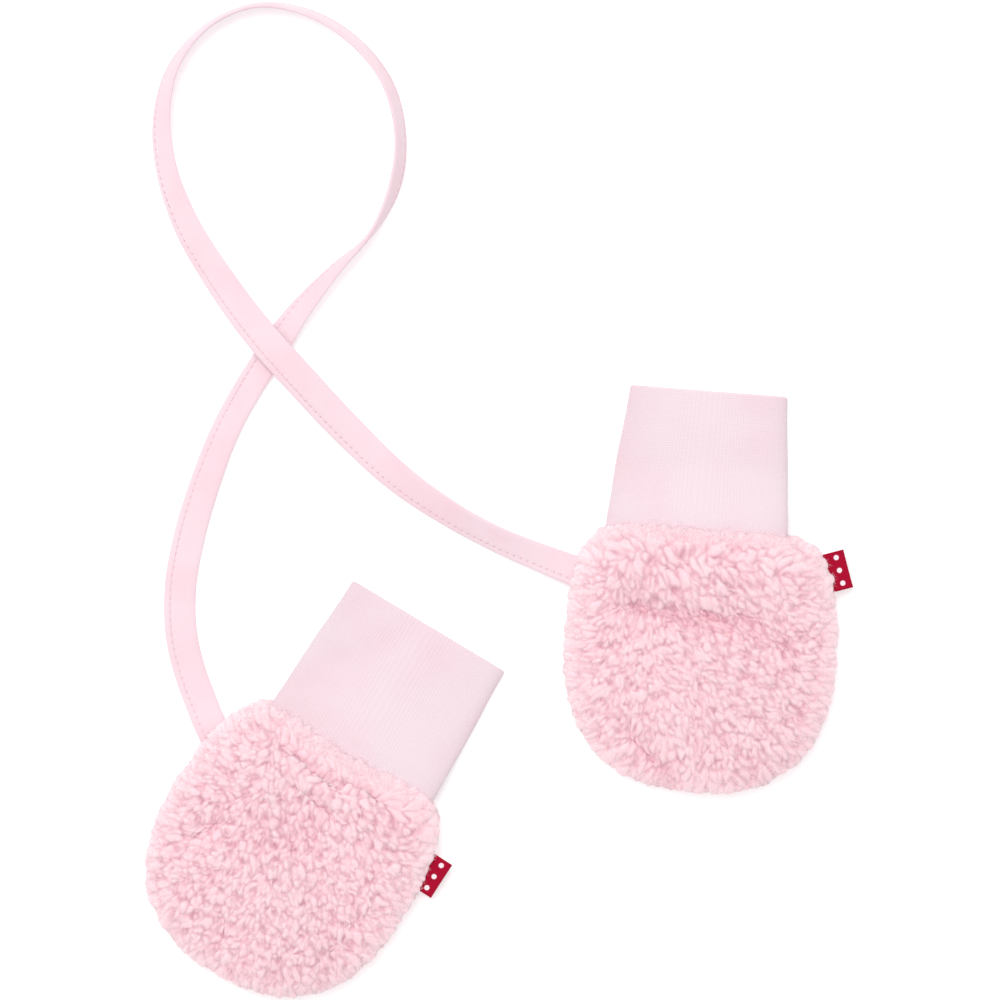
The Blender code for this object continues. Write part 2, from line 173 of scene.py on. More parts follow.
LOOP_BUMP = 0.08 * MM               # height of the knitted loops
JERSEY = (0.80, 0.622, 0.675)
JERSEY_DEEP = (0.805, 0.57, 0.63)
# painted shade at the needle holes
HOLE_SHADE_PINK = (0.74, 0.42, 0.48)
THREAD = (0.84, 0.60, 0.66)


def quads(rows, columns, wrap_columns):
    """Faces of a rows x columns grid of points, each a quad, as an (n, 4) array."""
    row = np.arange(rows - 1)[:, None]
    column = np.arange(columns if wrap_columns else columns - 1)[None, :]
    beside = (column + 1) % columns
    return np.stack([row * columns + column, row * columns + beside,
                     (row + 1) * columns + beside, (row + 1) * columns + column], -1).reshape(-1, 4)


def tube_corners(faces, columns):
    """The row, the column and the share of the way round of every corner of a tube's faces. The
    last face of each row runs on to a share of 1, not back to 0."""
    row, column = np.divmod(faces.reshape(-1), columns)
    closes = np.repeat(np.ptp(faces % columns, axis=1) > 1, 4)
    return row, column, np.where(closes & (column == 0), columns, column) / columns


def cloth_mesh(name, points, faces, maps, marks=None):
    """A piece from its points, its faces (arrays of triangles and quads) and its UV maps, each
    given as one (u, v) for every corner of every face, in the order of the faces. Marks are
    three numbers kept at every point, for the material."""
    mesh = bpy.data.meshes.new(name)
    flat = np.concatenate([block.reshape(-1) for block in faces]).astype(np.int32)
    sizes = np.concatenate([np.full(len(block), block.shape[1]) for block in faces])
    starts = np.concatenate([[0], np.cumsum(sizes)[:-1]]).astype(np.int32)
    mesh.vertices.add(len(points))
    mesh.vertices.foreach_set("co", np.asarray(points, np.float32).reshape(-1))
    mesh.loops.add(len(flat))
    mesh.loops.foreach_set("vertex_index", flat)
    mesh.polygons.add(len(sizes))
    mesh.polygons.foreach_set("loop_start", starts)
    for map_name, corners in maps.items():
        layer = mesh.uv_layers.new(name=map_name)
        layer.data.foreach_set("uv", np.asarray(corners, np.float32).reshape(-1))
    for mark_name, values in (marks or {}).items():
        mark = mesh.attributes.new(mark_name, "FLOAT_VECTOR", "POINT")
        mark.data.foreach_set("vector", np.asarray(values, np.float32).reshape(-1))
    mesh.update(calc_edges=True)
    mesh.validate()
    mesh.shade_smooth()
    return in_scene(name, mesh)


def soft_noise(x, y, seed, scale):
    """Smooth uneven values about -1 to 1: a sum of eight sine waves of unlike directions,
    wavelengths near the given scale."""
    draw = np.random.default_rng(seed)
    total = np.zeros(np.broadcast(x, y).shape)
    for _ in range(8):
        way, phase = draw.uniform(0, 2 * math.pi, 2)
        wave = 2 * math.pi / (scale * draw.uniform(0.7, 1.6))
        total = total + np.sin((x * math.cos(way) + y * math.sin(way)) * wave + phase)
    return total / 4.0


def eased(share):
    """Smooth step from 0 to 1: s^2 (3 - 2 s), with s held between 0 and 1."""
    share = np.clip(share, 0, 1)
    return share ** 2 * (3 - 2 * share)


def signed_power(value, power):
    """The power of the size of a number, with the number's own sign."""
    return np.sign(value) * np.abs(value) ** power


def cord_line(step):
    """The route as a smooth curve with even steps: cubic Hermite pieces between its points.
    Returns the middle line, the way to the stitched edge, the way through the thickness, the
    tape's width, and the length so far."""
    rows = np.array(ROUTE)
    rows[:, [column != "roll" for column in ROUTE_COLUMNS]] *= MM
    at = np.append(0.0, np.cumsum(np.hypot(*np.diff(rows[:, :2], axis=0).T)))
    slope = np.gradient(rows, at, axis=0)
    spots = np.linspace(0.0, at[-1], int(round(at[-1] / step)) + 1)
    part = np.clip(np.searchsorted(at, spots, side="right") - 1, 0, len(at) - 2)
    span = (at[part + 1] - at[part])[:, None]
    t = (spots - at[part])[:, None] / span
    onward = eased(t)
    table = rows[part] * (1 - onward) + rows[part + 1] * onward
    table += span * (t * (1 - t) ** 2 * slope[part] - t ** 2 * (1 - t) * slope[part + 1])
    x, y, lift, roll, width = table.T
    roll = np.radians(roll)
    height = (lift + CORD_OFF_TABLE + width / 2 * np.abs(np.sin(roll))
              + CORD_THICK / 2 * np.abs(np.cos(roll)))
    middle = np.column_stack([x, y, height])
    run = np.gradient(middle, axis=0)
    length = np.append(0.0, np.cumsum(np.linalg.norm(np.diff(middle, axis=0), axis=1)))
    left = np.column_stack([-run[:, 1], run[:, 0], np.zeros(len(x))])
    left /= np.linalg.norm(left, axis=1)[:, None]
    up = np.array([0.0, 0.0, 1.0])
    sine, cosine = np.sin(roll)[:, None], np.cos(roll)[:, None]
    return middle, cosine * left - sine * up, sine * left + cosine * up, width, length


def cord_tape():
    """Tape surface over (length, round). Half its thickness is a rounded-off flat, fuller over
    the folded-in edges, with a furrow along the stitching that dips at each needle hole. Its
    edges wander a little. The bake map lays it in rows, the cloth map in true lengths."""
    middle, edge_way, face_way, width, length = cord_line(CORD_STEP)
    across = signed_power(np.cos(np.linspace(math.pi, 0.0, CORD_ACROSS)), 0.8)
    side = np.concatenate([across, across[-2:0:-1]])[None, :]
    facing = np.concatenate([np.ones(CORD_ACROSS), -np.ones(CORD_ACROSS - 2)])[None, :]
    from_stitches = (1 - side) * width[:, None] / 2 - STITCH_IN
    dip = 1 + 0.5 * np.cos(2 * math.pi * length / STITCH_PITCH)[:, None]
    thick = CORD_THICK / 2 * np.sqrt(1 - np.abs(side) ** 6)
    thick = thick - STITCH_SINK * np.exp(-(from_stitches / STITCH_SPREAD) ** 2) * dip
    thick = thick - 0.1 * MM * np.clip(1 - np.abs(side) ** 4, 0, 1) * (1 + soft_noise(
        length[:, None], side * 0.004, 5, 0.03))
    wander = 0.16 * MM * soft_noise(length, length * 0, 6, 0.035)[:, None]
    reach = side * (width[:, None] / 2 - 0.1 * MM) + wander * np.abs(side)
    points = (middle[:, None] + edge_way[:, None] * reach[..., None]
              + face_way[:, None] * (thick * facing)[..., None])
    rows, columns = reach.shape
    faces = quads(rows, columns, True)[:, ::-1]
    row, column, round_share = tube_corners(faces, columns)
    along = length[row]
    strip = length[-1] / CORD_MAP_ROWS
    start = np.repeat(length[faces.min(axis=1) // columns], 4)
    map_row = np.minimum((start / strip).astype(int), CORD_MAP_ROWS - 1)
    bake = np.column_stack([(along - map_row * strip) / (strip * 1.01),
                            (map_row + 0.02 + 0.95 * round_share) / CORD_MAP_ROWS])
    from_edge = (1 - side[0])[column] * width[row] / 2
    under = np.repeat((faces % columns).min(axis=1) >= CORD_ACROSS - 1, 4)
    cloth = np.column_stack([along, np.where(under, -from_edge, from_edge)])
    last = (rows - 1) * columns
    caps = [np.arange(columns)[None, :], np.arange(last + columns - 1, last - 1, -1)[None, :]]
    cap_uv = 0.001 * np.random.default_rng(1).uniform(0.5, 1, (2 * columns, 2))
    piece = cloth_mesh("neck_cord_tape", points.reshape(-1, 3), [faces] + caps, {
        "OFBake": np.concatenate([bake, cap_uv]), "cloth": np.concatenate([cloth, cap_uv])})
    return piece, middle, length[-1]


def node(near, kind, inputs, **settings):
    """A new node in the material that holds near, a node or an output. An input takes a value,
    or the output that it is joined to."""
    tree = near.id_data
    made = tree.nodes.new("ShaderNode" + kind)
    for name, value in settings.items():
        setattr(made, name, value)
    for name, value in inputs.items():
        if isinstance(value, bpy.types.NodeSocket):
            tree.links.new(value, made.inputs[name])
        else:
            made.inputs[name].default_value = value
    return made


def maths(operation, first, *more):
    """One sum on an output, and more outputs or numbers. Returns its output."""
    return node(first, "Math", dict(enumerate((first, *more))), operation=operation).outputs[0]


def mixed(share, first, second):
    """Colour between two, each a colour or an output, by a share that is an output."""
    colours = [value if isinstance(value, bpy.types.NodeSocket) else (*value, 1.0)
               for value in (first, second)]
    return node(share, "Mix", {0: share, 6: colours[0], 7: colours[1]}, data_type="RGBA").outputs[2]


def ramp(value, start, end, low=0.0, high=1.0):
    """Goes evenly from low to high as the value goes from start to end, and no further."""
    return node(value, "MapRange", {"Value": value, "From Min": start, "From Max": end,
                                    "To Min": low, "To Max": high}).outputs[0]


def split(vector):
    """The three numbers of a vector output."""
    return node(vector, "SeparateXYZ", {"Vector": vector}).outputs[:3]


def speckle(surface, size, detail):
    """Uneven values of 0 to 1, in patches of the given size, fixed to the piece."""
    place = node(surface, "TexCoord", {}).outputs["Object"]
    return node(surface, "TexNoise", {"Vector": place, "Scale": 1 / size,
                                      "Detail": detail}).outputs[0]


def off_whole(value):
    """How far a number is from the nearest whole one."""
    return maths("SUBTRACT", value, maths("ROUND", value))


def slant(*sides):
    """The square root of the sum of two squares."""
    return maths("SQRT", maths("ADD", *(maths("MULTIPLY", side, side) for side in sides)))


def tinted(surface, colour):
    """Joins a colour output to the shader."""
    surface.id_data.links.new(colour, surface.inputs["Base Color"])


def embossed(surface, height, strength, distance):
    """Joins a height to the shader, as a bump."""
    bump = node(surface, "Bump", {"Height": height, "Strength": strength, "Distance": distance})
    surface.id_data.links.new(bump.outputs["Normal"], surface.inputs["Normal"])


def knit_material(name, light, deep, patch, pitch, depth):
    """Fine knitted cotton: the loops are a bump on the cloth map, two crossed waves of the given
    (course, wale) pitch, and soft uneven patches of the given size are pinker. Returns the
    material, its shader, the colour and the cloth map's two distances."""
    material, surface = shader(name, light, 0.85, {
        "Specular IOR Level": 0.2, "Sheen Weight": 0.25, "Sheen Roughness": 0.5})
    colour = mixed(ramp(speckle(surface, patch, 3.0), 0.42, 0.72), light, deep)
    along, across = split(node(surface, "UVMap", {}, uv_map="cloth").outputs["UV"])[:2]
    waves = [maths("SINE", maths("MULTIPLY", way, 2 * math.pi / step))
             for way, step in zip((along, across), pitch)]
    embossed(surface, maths("ADD", *waves), depth, LOOP_BUMP)
    tinted(surface, colour)
    return material, surface, colour, along, across


def cord_material():
    """The cord's jersey, with a darker spot at each needle hole of the topstitching, a painted
    shade in the holes.
    """
    material, surface, colour, along, across = knit_material(
        "cord_jersey", JERSEY, JERSEY_DEEP, 22 * MM, (0.5 * MM, 0.42 * MM), 0.25)
    to_hole = maths("MULTIPLY", off_whole(maths("DIVIDE", along, STITCH_PITCH)), STITCH_PITCH)
    beside = maths("SUBTRACT", maths("ABSOLUTE", across), STITCH_IN)
    # Painted shade: the cloth is darker round each needle hole.
    hole_shade = ramp(slant(to_hole, beside), HOLE_RADIUS * 1.5, HOLE_RADIUS * 0.5)
    tinted(surface, mixed(hole_shade, colour, HOLE_SHADE_PINK))
    return material


def beads(middles, along, across, up, half_sizes, rings, round_points):
    """Many small rounded bars at once: each an ellipsoid of the given half sizes about its
    middle. Returns points (n, rings * round + 2, 3) and the faces of one bar."""
    turn = np.linspace(0, 2 * math.pi, round_points, endpoint=False)[None, :]
    rise = np.linspace(0, math.pi, rings + 2)[1:-1][:, None]
    u = np.cos(rise) * np.ones_like(turn)
    v = np.sin(rise) * np.cos(turn)
    w = np.sin(rise) * np.sin(turn)
    ball = np.concatenate([[[1, 0, 0]], np.stack([u, v, w], -1).reshape(-1, 3), [[-1, 0, 0]]])
    scaled = ball * np.asarray(half_sizes)
    points = (middles[:, None] + along[:, None] * scaled[None, :, :1]
              + across[:, None] * scaled[None, :, 1:2] + up[:, None] * scaled[None, :, 2:])
    body = quads(rings, round_points, True) + 1
    k = np.arange(round_points)
    last = rings * round_points + 1
    nose = np.stack([np.zeros_like(k), 1 + (k + 1) % round_points, 1 + k], -1)
    tail = np.stack([np.full_like(k, last), last - round_points + k,
                     last - round_points + (k + 1) % round_points], -1)
    return points, body[:, ::-1], np.concatenate([nose, tail])


def repeat_faces(block, count, stride):
    """The faces of one small shape of stride points, repeated for each of the shapes."""
    return (block[None] + (np.arange(count) * stride)[:, None, None]).reshape(-1, block.shape[1])


def cord_stitches():
    """Lock stitches on both faces of the tape, one small bar to each pitch, sunk in the furrow."""
    middle, edge_way, face_way, width, length = cord_line(STITCH_PITCH / 4)
    count = int(length[-1] / STITCH_PITCH)
    pick = np.searchsorted(length, (np.arange(count) + 0.5) * STITCH_PITCH)
    pick, face = np.tile(pick, 2), np.repeat((1, -1), count)[:, None]
    along = np.gradient(middle, axis=0)[pick]
    along /= np.linalg.norm(along, axis=1)[:, None]
    up = face_way[pick] * face
    spots = (middle[pick] + edge_way[pick] * (width[pick, None] / 2 - STITCH_IN)
             + up * (CORD_THICK / 2 - STITCH_DEEP))
    points, body, ends = beads(spots, along, np.cross(up, along), up, STITCH_HALF, 3, 6)
    stride, many = points.shape[1], len(points)
    body, ends = repeat_faces(body, many, stride), repeat_faces(ends, many, stride)
    corner = np.random.default_rng(2).uniform(0.02, 0.98, (body.size + ends.size, 2))
    piece = cloth_mesh("neck_cord_stitches", points.reshape(-1, 3), [body, ends],
                       {"OFBake": corner})
    material, surface = shader("sewing_thread", THREAD, 0.6, {})
    paler = (THREAD[0], THREAD[1] * 1.1, THREAD[2] * 1.1)
    tinted(surface, mixed(speckle(surface, MM / 0.9, 2.0), THREAD, paler))
    piece.data.materials.append(material)
    return piece


tape, tape_line, tape_length = cord_tape()
tape.data.materials.append(cord_material())
stitches = cord_stitches()
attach(tape, "root")
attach(stitches, "root")
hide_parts("neck_cord")


# =====================================================================================
# Cuffs. Each is a tube of fine double jersey (interlock) folded in two, so that its open end
# is a fold; the raw edges are let into the fleece's mouth. It is pressed flat and lies so.
# =====================================================================================
# Where each mitten lies: its middle, on the widest line, and its turn from +Y in degrees.
PLACES = {"right": (69.2 * MM, 13.0 * MM, -4.5), "left": (-74.2 * MM, -55.9 * MM, -31.0)}
MOUTH = 45.0 * MM                   # from the middle to the fleece's mouth
SEAM_HEIGHT = 6.5 * MM              # the side seam lies this far over the table
# Width, and shift to the side, each at the mouth and at the open end; and where the end is.
CUFFS = {
    "right": dict(width=(63.2 * MM, 55.2 * MM), shift=(-4.5 * MM, -3.8 * MM), end=91.5 * MM),
    "left": dict(width=(65.6 * MM, 62.0 * MM), shift=(1.4 * MM, 1.6 * MM), end=92.3 * MM),
}
CUFF_WALL = 1.8 * MM                # two layers of interlock
CUFF_HALF = 1.95 * MM               # half of the flattened tube's thickness
CUFF_INSIDE = 8.0 * MM              # how far it goes into the fleece
CUFF_FALL = 21.0 * MM               # it comes down to the table over this length
CUFF_ROUND, CUFF_ALONG, CUFF_FOLD = 128, 56, 7  # points round it, along it and round its fold
INTERLOCK = (0.775, 0.632, 0.685)
INTERLOCK_DEEP = (0.78, 0.585, 0.64)
# Soft hollows and rises pressed into the upper layer: middle, half length and half width, turn
# from across and height, in the mitten's frame, in millimetres and degrees.
CUFF_DENTS = {
    "right": ((-14, 62, 20, 6, 20, -0.35), (8, 76, 22, 5, -12, 0.3), (14, 55, 14, 5, 8, -0.3)),
    "left": ((-12, 74, 24, 5, 55, -0.4), (10, 62, 20, 7, 10, 0.3), (18, 80, 14, 6, -30, -0.3)),
}


def turned(x, y, angle):
    """x and y turned about the origin by an angle in radians."""
    cosine, sine = np.cos(angle), np.sin(angle)
    return x * cosine - y * sine, x * sine + y * cosine


def laid(points, name):
    """Points from the mitten's own frame to where it lies on the table."""
    middle_x, middle_y, turn = PLACES[name]
    x, y = turned(points[..., 0], points[..., 1], math.radians(turn))
    return np.stack([middle_x + x, middle_y + y, points[..., 2]], -1)


def pressed(x, y, rows):
    """Height of soft folds: a bell across each and a flat-topped bell along it."""
    height = np.zeros(np.broadcast(x, y).shape)
    for middle_x, middle_y, half_length, half_width, turn, rise in rows:
        along, across = turned(x - middle_x * MM, y - middle_y * MM, -math.radians(turn))
        along, across = along / (half_length * MM), across / (half_width * MM)
        height = height + rise * MM * np.exp(-across ** 2 - along ** 4)
    return height


def fall(y):
    """Height of the cuff's middle: from the seam down to the table in a smooth step."""
    return SEAM_HEIGHT + (CUFF_HALF + 0.05 * MM - SEAM_HEIGHT) * eased((y - MOUTH) / CUFF_FALL)


def cuff(name):
    """Cuff surface over (along, round): up the outer skin, round the fold at the open end and
    back down the inner skin. Its section is a flat oval with tight side folds."""
    size = CUFFS[name]
    start, end, fold = MOUTH - CUFF_INSIDE, size["end"], CUFF_WALL / 2
    up = np.linspace(start, end - fold, CUFF_ALONG)
    turn = np.linspace(0, math.pi, CUFF_FOLD + 2)[1:-1]
    y = np.concatenate([up, end - fold + fold * np.sin(turn), up[::-1]])[:, None]
    inset = np.concatenate([up * 0, fold * (1 - np.cos(turn)), up * 0 + CUFF_WALL])[:, None]
    share = np.clip((y - MOUTH) / (end - MOUTH), 0, 1)
    half = np.interp(share, (0, 1), size["width"]) / 2 - inset
    half = half + 0.12 * MM * soft_noise(y, y * 0, 11, 0.02)
    angle = np.linspace(0, 2 * math.pi, CUFF_ROUND, endpoint=False)[None, :]
    side = signed_power(np.cos(angle), 0.75)
    oval = np.sign(np.sin(angle)) * np.sqrt(np.clip(1 - np.abs(side) ** 20, 0, 1))
    x = half * side + np.interp(share, (0, 1), size["shift"])
    ease = np.clip((1 - np.abs(side)) * 8, 0, 1) * np.clip(np.sin(angle) * 3, 0, 1)
    bend = pressed(x, y, CUFF_DENTS[name]) + 0.14 * MM * soft_noise(x, y, 12, 0.016)
    z = fall(y) + (CUFF_HALF - inset) * oval + bend * ease
    points = laid(np.stack(np.broadcast_arrays(x, y, z), -1), name)
    rows, columns = x.shape
    faces = quads(rows, columns, True)[:, ::-1]
    row, _, round_share = tube_corners(faces, columns)
    run = np.append(0, np.cumsum(np.hypot(np.diff(y[:, 0]), np.diff(inset[:, 0]))))
    outer = np.arange(columns)
    inner = (rows - 1) * columns + outer
    closing = np.stack([outer, np.roll(outer, -1), np.roll(inner, -1), inner], -1)
    closing_uv = np.tile([[0.001, 0.001], [0.004, 0.001], [0.004, 0.004], [0.001, 0.004]],
                         (columns, 1))
    bake = np.column_stack([0.01 + 0.98 * round_share, 0.01 + 0.98 * run[row] / run[-1]])
    cloth = np.column_stack([run[row], round_share * 2 * size["width"][0]])
    return cloth_mesh(name + "_cuff_tube", points.reshape(-1, 3), [faces, closing], {
        "OFBake": np.concatenate([bake, closing_uv]), "cloth": np.concatenate([cloth, closing_uv])})


cuff_cloth = knit_material("cuff_interlock", INTERLOCK, INTERLOCK_DEEP, 26 * MM,
                           (0.82 * MM, 0.74 * MM), 0.5)[0]
for side_name in PLACES:
    tube = cuff(side_name)
    tube.data.materials.append(cuff_cloth)
    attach(tube, "root")
    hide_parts(side_name + "_cuff")


# =====================================================================================
# Labels. A woven ribbon folded in two, caught by its cut ends in the side seam, so that its
# fold stands out from the fleece. Deep red satin ground with a few small white woven dots.
# =====================================================================================
# How far up the mitten it sits, its turn in degrees, and how far out the seam is there.
LABELS = {"right": dict(level=31.4 * MM, turn=19.0, rim=42.9 * MM),
          "left": dict(level=18.6 * MM, turn=-2.0, rim=44.6 * MM)}
RIBBON_WIDE = 13.6 * MM
RIBBON_OUT, RIBBON_IN = 6.7 * MM, 3.4 * MM  # how far it goes outside and inside the seam
RIBBON_THICK, RIBBON_FOLD = 0.5 * MM, 0.32 * MM  # and the radius of its fold
RIBBON_DROOP, RIBBON_BOW = math.radians(7.0), 0.35 * MM
RIBBON_RED = (0.42, 0.002, 0.032)
RIBBON_SHADE = (0.30, 0.002, 0.018)
DOT_WHITE = (0.86, 0.74, 0.78)
DOT_PITCH, DOT_RADIUS = 4.6 * MM, 0.9 * MM
WEAVE_STEP, RIB_PITCH = 0.18 * MM, 0.3 * MM


def ribbon(name):
    """Ribbon sheet over (along its length, across): out along the top, round the fold and back
    underneath, bowed a little across; Solidify gives it its thickness."""
    size = LABELS[name]
    out = np.linspace(-RIBBON_IN, RIBBON_OUT - RIBBON_FOLD - RIBBON_THICK / 2, 16)
    turn = np.linspace(0, math.pi, 7)[1:-1]
    x = np.concatenate([out, out[-1] + RIBBON_FOLD * np.sin(turn), out[::-1]])[:, None]
    z = RIBBON_FOLD * np.concatenate([out * 0 + 1, np.cos(turn), out * 0 - 1])[:, None]
    y = np.linspace(-RIBBON_WIDE / 2, RIBBON_WIDE / 2, 24)[None, :]
    lift = RIBBON_BOW * (2 * y / RIBBON_WIDE) ** 2 * np.clip(x / RIBBON_OUT, 0, 1)
    x, y, z = np.broadcast_arrays(x, y, z + lift)
    out, up = turned(x, z, -RIBBON_DROOP)
    out, level = turned(out, y, math.radians(size["turn"]))
    place = np.stack([size["rim"] + out, size["level"] + level, SEAM_HEIGHT + up], -1)
    rows, columns = x.shape
    faces = quads(rows, columns, False)
    corner = faces.reshape(-1)
    run = np.append(0, np.cumsum(np.hypot(np.diff(x[:, 0]), np.diff(z[:, 0]))))
    along, across = run[corner // columns], (y[0] + RIBBON_WIDE / 2)[corner % columns]
    bake = 0.02 + np.column_stack([0.46 * across / RIBBON_WIDE, 0.96 * along / run[-1]])
    return cloth_mesh(name + "_label_ribbon", laid(place, name).reshape(-1, 3), [faces], {
        "OFBake": bake, "cloth": np.column_stack([along, across])})


def ribbon_material():
    """Satin-woven ribbon: close weft ribs, a darker thread here and there, and round dots on a
    square lattice whose edges step with the weave."""
    material, surface = shader("label_ribbon", RIBBON_RED, 0.7, {"Specular IOR Level": 0.08})
    cloth = node(surface, "UVMap", {}, uv_map="cloth").outputs["UV"]
    along, across = split(cloth)[:2]
    off_dot = []
    for way, first in ((along, RIBBON_IN + RIBBON_OUT / 2), (across, RIBBON_WIDE / 2)):
        from_first = maths("SUBTRACT", maths("SNAP", way, WEAVE_STEP), first)
        off_dot.append(off_whole(maths("DIVIDE", from_first, DOT_PITCH)))
    radius = DOT_RADIUS / DOT_PITCH
    dot = ramp(slant(*off_dot), radius * 1.08, radius * 0.92)
    shade = node(surface, "TexNoise", {"Vector": cloth, "Scale": 1 / (0.9 * MM),
                                       "Detail": 2.0}).outputs[0]
    tinted(surface, mixed(dot, mixed(shade, RIBBON_SHADE, RIBBON_RED), DOT_WHITE))
    rib = maths("SINE", maths("MULTIPLY", along, 2 * math.pi / RIB_PITCH))
    embossed(surface, rib, 0.3, 0.05 * MM)
    return material


label_cloth = ribbon_material()
for side_name in PLACES:
    label = ribbon(side_name)
    label.data.materials.append(label_cloth)
    wall = label.modifiers.new("thickness", "SOLIDIFY")
    wall.thickness = RIBBON_THICK
    wall.offset = 0.0
    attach(label, "root")
    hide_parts(side_name + "_label")


# =====================================================================================
# Fleece. Each mitten is two panels of teddy fleece, seamed round their edge with the pile
# outward: a knitted backing, here a thin shell, that carries thousands of curled locks.
# =====================================================================================
# Half the width on the widest line, reach below and above it, lean to the side for each metre
# up, and how square the shoulders are.
SHAPES = {
    "right": dict(half=47.9 * MM, low=48.9 * MM, high=54.0 * MM, lean=-0.02, shoulder=2.95),
    "left": dict(half=46.7 * MM, low=50.1 * MM, high=54.0 * MM, lean=0.01, shoulder=2.7),
}
LOWER_ROUND = 2.38                  # how square the outline is below its widest line
MOUTH_CORNER = 14.0                 # how tight the mouth's corners are
PILE = 2.6 * MM                     # the locks stand this far out of the backing
BACKING = 1.3 * MM                  # its thickness
FRONT_RIM, FRONT_DOME = 12.6 * MM, 2.4 * MM  # height of the front's pile, and its rise inwards
FRONT_ROUND, BACK_ROUND = 0.25, 0.20  # the outer share of the reach that rounds over to the seam
HALF_SEAM_GAP = 0.1 * MM            # between the two panels' edges
LEAST_RISE = 0.4 * MM               # of the front over its seam, in the deepest fold
BACK_HEIGHT = 1.4 * BACKING         # of the back's flat face, over the table
MOUTH_OPEN = 2.2 * MM               # the mouth's edges pass this far over and under the seam
OPEN_FROM, OPEN_OVER = 12 * MM, 9 * MM  # they part this far below the mouth, over this length
# The front slopes down to the mouth from this far up the mitten, over this length and this far
# to both sides. It sags over the cuff likewise, by the amounts below.
SLOPE_FROM, SLOPE_OVER, SLOPE_HALF = 28 * MM, 10 * MM, 33 * MM
SAG_FROM, SAG_OVER, SAG_HALF = 20 * MM, 25 * MM, 34 * MM
MOUTH_SAG = {"right": 0.6 * MM, "left": 4.5 * MM}
SHELL_RINGS, SHELL_ROUND = 26, 120
SHELL_REACH = 56 * MM               # no panel reaches further from its middle
# Folds and puffs of the fronts, in rows like those of the cuffs' dents.
FOLDS = {
    "right": ((0, 28, 40, 9, 0, 1.9), (2, 10.5, 32, 5.5, -7, -2.1), (3, 14.5, 14, 3.0, 2, -1.1),
              (-24, 14.5, 9, 3.0, 8, -1.1), (16, 14.5, 8, 3.0, -12, -1.1),
              (27, 4.4, 4, 2.6, -20, -1.0), (37, 9.8, 3, 2.4, -50, -0.8),
              (-11, 30, 8, 3.0, 26, -1.2), (-33, -3, 8, 2.8, 80, -0.8),
              (-14, -37.5, 14, 3.4, -42, -2.3), (26, -40, 9, 2.8, 20, -1.2),
              (-12, -20, 15, 7, -38, 0.7)),
    "left": ((4, 26, 36, 6.5, 4, 1.0), (-5, 29.5, 11, 2.8, -8, -2.0), (13, 33, 10, 2.8, -4, -2.0),
             (-1, 20, 9, 2.9, -9, -2.0), (-8, 3, 20, 8, 25, -1.2), (33, -7, 6, 2.8, 60, -1.3),
             (30, -22, 7, 2.8, 75, -1.3), (-5, -35, 7, 3.0, -65, -1.0),
             (-28, -8, 9, 3.0, 55, -1.1), (-18, -24, 14, 6, -55, 0.7)),
}


def outline(angle, name):
    """Reach of the pile's tips from the middle: two superellipses, above and below the widest
    line, cut off by the mouth's straight line with rounded corners."""
    shape = SHAPES[name]
    across, along = np.cos(angle), np.sin(angle)
    power = np.where(along > 0, shape["shoulder"], LOWER_ROUND)
    height = np.where(along > 0, shape["high"], shape["low"])
    reach = (np.abs(across / shape["half"]) ** power
             + np.abs(along / height) ** power) ** (-1 / power)
    to_mouth = MOUTH / np.maximum(along, 1e-6)
    return (reach ** -MOUTH_CORNER + to_mouth ** -MOUTH_CORNER) ** (-1 / MOUTH_CORNER)


def mouth_gap(x, y, name):
    """How far a panel's edge is pushed off the seam by the cuff that it holds."""
    cuff_wide, cuff_middle = CUFFS[name]["width"][0], CUFFS[name]["shift"][0]
    over = ((x - cuff_middle) / (cuff_wide / 2 + 1.0 * MM)) ** 12
    return MOUTH_OPEN * eased((y - MOUTH + OPEN_FROM) / OPEN_OVER) / (1 + over)


def backing_at(share, angle, name, side, shrink):
    """Point of the backing's outer face at a share of its reach and an angle round the middle.
    The front rises to a dome with its folds, the back is flat; both round over to the seam.
    The front's mouth slopes softly down to the cuff and sags in the middle."""
    reach = outline(angle, name) - PILE - shrink
    x, y = share * reach * np.cos(angle), share * reach * np.sin(angle)
    x = x + SHAPES[name]["lean"] * y
    over = np.clip((share - 1 + FRONT_ROUND) / FRONT_ROUND, 0, 1)
    under = np.clip((share - 1 + BACK_ROUND) / BACK_ROUND, 0, 1)
    gap = mouth_gap(x, y, name)
    if side == "front":
        low = SEAM_HEIGHT + gap + HALF_SEAM_GAP
        full = (FRONT_RIM - PILE - shrink + FRONT_DOME * (1 - share ** 2)
                + pressed(x, y, FOLDS[name]))
        at_mouth = np.clip((y - SLOPE_FROM) / SLOPE_OVER, 0, 1) / (1 + (x / SLOPE_HALF) ** 12)
        round_over = np.sqrt(1 - over ** 2)
        round_over = round_over + at_mouth * (1 - over ** 2 - round_over)
        z = low + (np.maximum(full, low + LEAST_RISE) - low) * round_over
        sag = MOUTH_SAG[name] * np.clip(1 - (x / SAG_HALF) ** 2, 0, 1)
        y = y - sag * eased((y - SAG_FROM) / SAG_OVER)
    else:
        low = SEAM_HEIGHT - gap - HALF_SEAM_GAP
        z = low + (BACK_HEIGHT + shrink - low) * np.sqrt(1 - under ** 2)
    return np.stack([x, y, z], -1)


